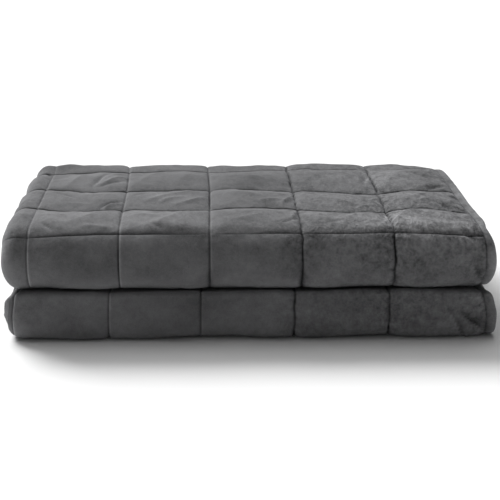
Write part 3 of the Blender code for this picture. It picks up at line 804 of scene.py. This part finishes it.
def column_marks(column, row, on_top):
    """Painted shade over the column seams, in their grooves where the pile also parts, and the painted
    highlight beside them.
    """
    nearest = np.clip(np.round(column), 0, len(COLUMN_DARK_TOP) - 1)
    aside = (column - nearest) * SQUARE
    thick = (1.0 - on_top) * np.isin(nearest, THICK_SEAMS)
    thick_top = on_top * np.isin(nearest, TOP_THICK_SEAMS)
    gap = soft_step(row, *GAP_ROWS) * (row > -1.0)
    half = DARK_HALF * (1.0 + thick * (THICKER + GAP_WIDER * gap) + TOP_THICKER * thick_top)
    # painted shade in the groove of the seam, where the pile also parts
    dark = along_seams(nearest, on_top, COLUMN_DARK_FRONT, COLUMN_DARK_TOP)
    dark = dark * (1.0 + seam_noise("dark columns", row, nearest))
    # painted highlight beside the seam, on the side of its groove that faces the light
    light = along_seams(nearest, on_top, COLUMN_HIGHLIGHT_FRONT, COLUMN_HIGHLIGHT_TOP)
    light = light * (1.0 + seam_noise("highlight columns", row, nearest))
    beside = (aside + HIGHLIGHT_ASIDE) / HIGHLIGHT_HALF
    return dark * np.exp(-((aside / half) ** 2)), light * np.exp(-(beside**2))


def row_marks(column, row, on_top):
    """Painted shade over the row seams, in their grooves where the pile also parts."""
    nearest = np.round(row)
    # painted shade in the groove of the row seam, where the pile also parts
    dark = ROW_DARK_EDGE + (ROW_DARK_TOP - ROW_DARK_EDGE) * (row > 0.5)
    dark = dark * (1.0 + seam_noise("dark rows", column, nearest))
    half = DARK_HALF + (ROW_DARK_HALF - DARK_HALF) * on_top
    half = half * (1.0 + ROW_THICKER * on_top * soft_step(column, *FUR_COLUMNS))
    return dark * row_depth(column, row) * np.exp(-(((row - nearest) * SQUARE / half) ** 2))


def ruffle(column, row, to_column, in_hem):
    """How ruffled the pile is."""
    right = soft_step(column, *FUR_COLUMNS)
    beside = 1.0 + FUR_SEAM * right * np.exp(-to_column / FUR_SEAM_REACH)
    along = np.interp(row, *zip(*FUR_ALONG)) * beside
    return (FUR_LEFT + (1.0 - FUR_LEFT) * right) * along * (1.0 - (1.0 - FUR_HEM) * in_hem)


class Places:
    """Where each point of the quilted face lies among the seams, and what that does to it."""

    def __init__(self, section, rows, free, across):
        self.free = free
        self.column = count_of(section.seams, across)
        self.row = rows + np.zeros_like(self.column)
        to_column = from_seam(self.column, len(section.seams) - 1)
        self.to_column = np.where(self.column < 0, -self.column * SQUARE, to_column)
        self.to_row = from_seam(self.row)
        self.in_hem = np.clip(-self.column * SQUARE / SLIT_HALF, 0.0, 1.0)
        self.inside = 1.0 - self.in_hem
        self.before_fold = np.clip((section.fold_end - across) / FADE, 0.0, 1.0)

    def sunk(self):
        """How deep the seams press the face in."""
        row = self.row
        calm = 1.0 - BACK_EDGE_CALM * back_edge(row)
        groove = (GROOVE_PRESSED + (GROOVE_FREE - GROOVE_PRESSED) * self.free) * calm
        on_top = np.clip(row, 0.0, 1.0) * (row < len(ROW_STRAY))
        deep = along_seams(self.column, on_top, COLUMN_DEEP_FRONT, COLUMN_DEEP_TOP)
        deep = np.where(row > len(ROW_STRAY) + 1, deep * LOWER_SEAMS, deep)
        row_deep = self.inside * row_depth(self.column, row)
        high = (1.0 - row_deep * (1.0 - roll(self.to_row))) * (1.0 - deep * (1.0 - roll(self.to_column)))
        lines = np.maximum(slit(self.to_column) * deep, slit(self.to_row) * row_deep)
        return groove * (1.0 - high) + SLIT_DEEP * calm * self.free * lines

    def padded(self):
        """How far the squares stand out, with their unevenness and gathers."""
        row = self.row
        flat = 1.0 - BACK_EDGE_FLAT * back_edge(row)
        for number, share in FRONT_CROWN.items():
            flat = np.where(np.floor(row) == number, share, flat)
        crown = CROWN * flat * bulge(row) * plump(np.maximum(self.column, 0.0)) * self.inside
        gathers = puckers(self.column, row, self.to_column, self.to_row)
        relief = waves(self.column, row) * self.inside + gathers
        return crown + relief * roll(np.minimum(self.to_row, self.to_column))

    def marks(self, crease_painted_shade):
        """What the material needs of the pile: tone and painted light, painted seam shade, ruffle."""
        column = self.column
        row = self.row
        seen = self.inside * self.before_fold
        on_top = np.clip(row / TOP_BEGINS, 0.0, 1.0) * (row < len(ROW_STRAY) + 1)
        # painted shade over the seams, where the pile also parts, and the painted highlight beside the
        # column seams
        dark, light = column_marks(column, row, on_top)
        row_dark = row_marks(column, row, on_top) * seen
        back_of_square = 2.0 * (row - np.floor(row)) - 1.0
        # painted light and shade: parts of the nap table, the crease slopes and the highlight beside the
        # column seams
        tone = nap_and_painted_light(column, row) + crease_painted_shade + light
        # painted light and shade on the hem strip: darker beside the stitch, lighter towards its rounded
        # edge
        tone += self.in_hem * np.interp(-column, (0.0, HEM_COLUMNS), HEM_PAINTED_LIGHT)
        # painted light and shade: each square of the top lighter at its back and darker at its front
        tone += ROW_PAINTED_SHADE * back_of_square * (row > 0.0) * (row < len(TOP_ROW_Y))
        # painted shade just below the front edge
        tone -= EDGE_SHADE * self.inside * (row < 0.0) * np.exp(-((row / EDGE_SHADE_REACH) ** 2))
        return {
            "tone": tone,
            "dark": np.clip(np.maximum(dark, row_dark), 0.0, 1.0),
            "fur": ruffle(column, row, self.to_column, self.in_hem),
        }


class Cloth:
    """Both faces of the folded cloth as grids of points, and what the material needs of them."""

    def __init__(self):
        self.path = Path()
        self.seams = row_seams(self.path)
        self.lengths = row_stations(self.path, self.seams)
        self.stray = Stray(self.path, self.seams)
        self.free = freedom(self.path, self.lengths)[:, None]
        front = first_top_row(self.path, self.seams) + len(TOP_ROW_Y)
        self.rows = (front - count_of(self.seams, self.lengths))[:, None]
        middle, half = HEM_EASE_ROWS
        across = across_at(self.path, self.lengths)
        across[:, -3:] -= np.array(HEM_EASE) * np.exp(-(((self.rows - middle) / half) ** 2))
        self.section = Section(across, self.path.pitch(self.lengths))

    def quilted_half(self, across):
        """Half thickness of the face that carries the quilting, and the marks on its pile."""
        places = Places(self.section, self.rows, self.free, across)
        # tone here is the painted light and shade on the crease slopes
        rise, tone = creases(places.column, places.row)
        quilted = places.before_fold * (1.0 - ROLL_CALM * soft_step(places.column, *ROLL_COLUMNS))
        risen = quilted * places.padded() + places.before_fold * rise
        layer = (self.section.pitch - AIR) * (1.0 - (1.0 - HEM_THIN) * places.in_hem)
        return layer / 2 - quilted * places.sunk() + self.free * risen, places.marks(tone)

    def wiggle(self, across):
        """How far each point slides along the cloth, so that the right-hand seams run raggedly."""
        column = count_of(self.section.seams, across)
        ruffled = soft_step(column, *WIGGLE_GROWS) * (1.0 - soft_step(column, *WIGGLE_FADES))
        close = np.exp(-from_seam(column, len(self.section.seams) - 1) / WIGGLE_WAVE)
        ragged = seam_noise("ragged columns", self.lengths[:, None] / SQUARE, np.round(column))
        return ragged * ruffled * close * self.free

    def place(self, across, half, outer):
        """Points of one face of the cloth, before it settles."""
        section = self.section
        lengths = self.lengths[:, None]
        if outer:
            across = across + self.wiggle(across)
        x, height, side_x, side_z = section.at(across)
        astray = self.stray.at(lengths + 0 * x, x)
        thick = half - STRAY_SINK * astray * (across < section.fold_end) if outer else -half
        edge = rounded(np.minimum(across, section.total - across), HEM_ROUND)
        to_end = np.minimum(lengths, self.path.total() - lengths)
        thick = thick * edge * (END_BLUNT + (1 - END_BLUNT) * rounded(to_end, END_ROUND))
        x = x + thick * side_x
        height = height + thick * side_z
        wobble = WOBBLE * soft_noise("wobble", x / WOBBLE_WAVE, lengths / WOBBLE_WAVE) * self.free
        y, z, ny, nz = self.path.at(lengths + STRAY_SHIFT * astray + wobble)
        stagger = FLAP_STAGGER * np.maximum(0.0, 1.0 - to_end / FLAP_STAGGER_LENGTH) ** 2
        y = y + height * ny + stagger * height / section.pitch
        return np.stack([x, y, z + height * nz], axis=-1)


def square_up(points):
    """Presses the round lower front turn towards a square, so that the bundles meet near the front."""
    radius = 2 * PITCH_LOWER
    ahead = np.clip((FRONT_LOWER_Y - points[:, 1]) / radius, 0.0, None)
    height = points[:, 2] / radius - 1.0
    inside = (ahead > 0.0) & (np.abs(height) <= 1.0)
    square = np.where(height > 0.0, SQUARE_AT_NIP, SQUARE_AT_GROUND)
    size = np.hypot(ahead, height) + SAME
    reach = (ahead / size) ** square + (np.abs(height) / size) ** square
    stretch = np.where(inside, reach ** (-1.0 / square), 1.0)
    pressed = points.copy()
    pressed[:, 1] = np.where(inside, FRONT_LOWER_Y - ahead * radius * stretch, points[:, 1])
    pressed[:, 2] = np.where(inside, radius * (1.0 + height * stretch), points[:, 2])
    return pressed


def zipped(left, right):
    """Triangles between two rows of point numbers that share both ends."""
    faces = []
    i = 0
    j = 0
    while i < len(left) - 1 or j < len(right) - 1:
        if (i + 1) / (len(left) - 1) <= (j + 1) / (len(right) - 1):
            corner = (left[i], left[i + 1], right[j])
            i += 1
        else:
            corner = (left[i], right[j + 1], right[j])
            j += 1
        if len(set(corner)) == 3:
            faces.append(corner)
    return faces


def grid_quads(ids, turned):
    """Four-sided faces of a grid of point numbers."""
    quads = np.stack([ids[:-1, :-1], ids[:-1, 1:], ids[1:, 1:], ids[1:, :-1]], axis=-1).reshape(-1, 4)
    return quads[:, ::-1] if turned else quads


def make_mesh(name, points, quads, triangles):
    """Mesh from arrays of points, four-sided faces and triangles."""
    mesh = bpy.data.meshes.new(name)
    mesh.vertices.add(len(points))
    mesh.vertices.foreach_set("co", points.astype(np.float32).ravel())
    loops = np.concatenate([quads.ravel(), triangles.ravel()])
    mesh.loops.add(len(loops))
    mesh.loops.foreach_set("vertex_index", loops.astype(np.int32))
    mesh.polygons.add(len(quads) + len(triangles))
    starts = np.concatenate([4 * np.arange(len(quads)), 4 * len(quads) + 3 * np.arange(len(triangles))])
    mesh.polygons.foreach_set("loop_start", starts.astype(np.int32))
    mesh.update(calc_edges=True)
    mesh.validate()
    mesh.shade_smooth()
    return mesh


def add_object(name, data):
    made = bpy.data.objects.new(name, data)
    bpy.context.scene.collection.objects.link(made)
    return made


def build_cloth():
    """The closed mesh of the blanket, with the marks of its pile as attributes."""
    cloth = Cloth()
    across = cloth.section.outer_stations()
    half, marks = cloth.quilted_half(across)
    outer = cloth.place(across, half, True)
    inner = cloth.place(cloth.section.inner_stations(), (cloth.section.pitch - AIR) / 2, False)
    rows, outer_count = outer.shape[:2]
    inner = inner[:, 1:-1]
    points = np.concatenate([outer.reshape(-1, 3), inner.reshape(-1, 3)])
    outer_ids = np.arange(rows * outer_count).reshape(rows, outer_count)
    inner_ids = rows * outer_count + np.arange(rows * inner.shape[1]).reshape(rows, -1)
    inner_ids = np.concatenate([outer_ids[:, :1], inner_ids, outer_ids[:, -1:]], axis=1)
    quads = np.concatenate([grid_quads(outer_ids, False), grid_quads(inner_ids, True)])
    ends = [face[::-1] for face in zipped(list(outer_ids[0]), list(inner_ids[0]))]
    ends += zipped(list(outer_ids[-1]), list(inner_ids[-1]))
    points = square_up(points)
    points[:, 2] = np.maximum(points[:, 2], AIR / 2)
    points = points - np.array([*CENTRE, AIR / 2])
    mesh = make_mesh("blanket_cloth", points, quads, np.array(ends))
    # the tone and dark attributes carry painted light and shade
    for name, values in marks.items():
        everywhere = np.zeros(len(points), np.float32)
        everywhere[: outer_ids.size] = values.ravel()
        mesh.attributes.new(name, "FLOAT", "POINT").data.foreach_set("value", everywhere)
    return add_object("blanket_cloth", mesh)


class Nodes:
    """Short way to add shader nodes and link them."""

    def __init__(self, name):
        self.material = bpy.data.materials.new(name)
        self.material.use_nodes = True
        self.tree = self.material.node_tree
        self.shader = self.tree.nodes["Principled BSDF"]

    def add(self, kind, values=(), **settings):
        made = self.tree.nodes.new(kind)
        for key, value in settings.items():
            setattr(made, key, value)
        self.set(made, dict(values))
        return made

    def set(self, made, values):
        for socket, value in values.items():
            if isinstance(value, bpy.types.NodeSocket):
                self.tree.links.new(value, made.inputs[socket])
            else:
                made.inputs[socket].default_value = value

    def math(self, operation, *values, clamp=False):
        made = self.add("ShaderNodeMath", enumerate(values), operation=operation, use_clamp=clamp)
        return made.outputs[0]

    def noise(self, scale, detail, vector, roughness=0.55):
        """Noise from 0 to 1, so many waves to a metre."""
        values = {"Scale": scale, "Detail": detail, "Roughness": roughness, "Vector": vector}
        return self.add("ShaderNodeTexNoise", values).outputs["Fac"]

    def swing(self, source, amount):
        """Noise from 0 to 1 as a swing about nought."""
        return self.math("MULTIPLY", self.math("SUBTRACT", source, 0.5), amount)

    def shaded(self, height, relief, values):
        """The material, once its shader has these values and a bump of this height."""
        strength, distance = relief
        bump = self.add("ShaderNodeBump", {"Strength": strength, "Distance": distance, "Height": height})
        self.set(self.shader, {**values, "Normal": bump.outputs[0]})
        return self.material


def plush_material():
    """Short dark grey pile: brushed patches, ruffled streaks, fine fibre, soft sheen, painted light and
    shade.
    """
    nodes = Nodes("plush")
    place = nodes.add("ShaderNodeTexCoord").outputs["Object"]
    brushed = nodes.add("ShaderNodeMapping", {"Vector": place, "Scale": BRUSHED_SCALE}).outputs[0]
    marks = {}
    for name in ("tone", "dark", "fur"):
        marks[name] = nodes.add("ShaderNodeAttribute", attribute_name=name).outputs["Fac"]
    fur = marks["fur"]
    noises = {}
    tone = 0.0
    for name, (scale, detail, roughness, amount) in PILE.items():
        noises[name] = nodes.noise(scale, detail, brushed if name in BRUSHED else place, roughness)
        swing = nodes.swing(noises[name], amount)
        tone = nodes.math("ADD", tone, nodes.math("MULTIPLY", swing, fur) if name in BRUSHED else swing)
    uneven = nodes.math("MULTIPLY", nodes.swing(noises["streaks"], MARK_SWING), fur)
    # the tone of the marks, with its painted light and shade, shows more unevenly in ruffled pile
    shown = nodes.math("MULTIPLY", marks["tone"], nodes.math("ADD", 1.0, uneven))
    tone = nodes.math("ADD", nodes.math("ADD", tone, shown), 1.0)
    tone = nodes.math("MAXIMUM", tone, DARKEST)
    # painted shade in the seam grooves, where the pile also parts
    seam_painted_shade = nodes.math("MULTIPLY", marks["dark"], nodes.math("SUBTRACT", 1.0, uneven), clamp=True)
    tone = nodes.math("MULTIPLY", tone, nodes.math("SUBTRACT", 1.0, seam_painted_shade))
    colour = nodes.add("ShaderNodeVectorMath", {0: PLUSH, "Scale": tone}, operation="SCALE").outputs[0]
    ruffled = nodes.math("ADD", noises["tufts"], nodes.math("MULTIPLY", noises["streaks"], STREAK_RELIEF))
    ruffled = nodes.math("MULTIPLY", ruffled, fur)
    height = nodes.math("ADD", ruffled, nodes.math("MULTIPLY", noises["fibre"], FIBRE_RELIEF))
    return nodes.shaded(height, PILE_BUMP, {"Base Color": colour, **PLUSH_SHADER})


def add_blanket():
    blanket = build_cloth()
    blanket.data.materials.append(plush_material())
    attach(blanket, "root")
    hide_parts("weighted_blanket")


def floor_material():
    nodes = Nodes("floor")
    place = nodes.add("ShaderNodeTexCoord").outputs["Object"]
    return nodes.shaded(nodes.noise(*FLOOR_GRAIN, place), FLOOR_BUMP, FLOOR_SHADER)


def add_floor():
    half = FLOOR_HALF
    corners = np.array([(-half, -half, 0.0), (half, -half, 0.0), (half, half, 0.0), (-half, half, 0.0)])
    mesh = make_mesh("floor", corners, np.array([[0, 1, 2, 3]]), np.zeros((0, 3), int))
    floor = add_object("floor", mesh)
    floor.data.materials.append(floor_material())


def add_lights():
    for name, (source, strength, angle) in SUNS.items():
        light = bpy.data.lights.new(name, "SUN")
        light.energy = strength
        light.angle = angle
        add_object(name, light).rotation_euler = Vector(source).to_track_quat("Z", "Y").to_euler()
    world = bpy.data.worlds.new("studio")
    world.use_nodes = True
    background = world.node_tree.nodes["Background"]
    background.inputs["Color"].default_value = WHITE
    background.inputs["Strength"].default_value = AMBIENT
    bpy.context.scene.world = world
    bpy.context.scene.view_settings.view_transform = "Standard"


def add_camera():
    data = bpy.data.cameras.new("camera")
    data.lens = CAMERA_LENS
    data.sensor_width = CAMERA_SENSOR
    camera = add_object("camera", data)
    camera.location = CAMERA_PLACE
    camera.rotation_euler = (math.pi / 2 - CAMERA_DOWN, 0.0, CAMERA_TURN)
    bpy.context.scene.camera = camera


add_blanket()
add_floor()
add_lights()
add_camera()
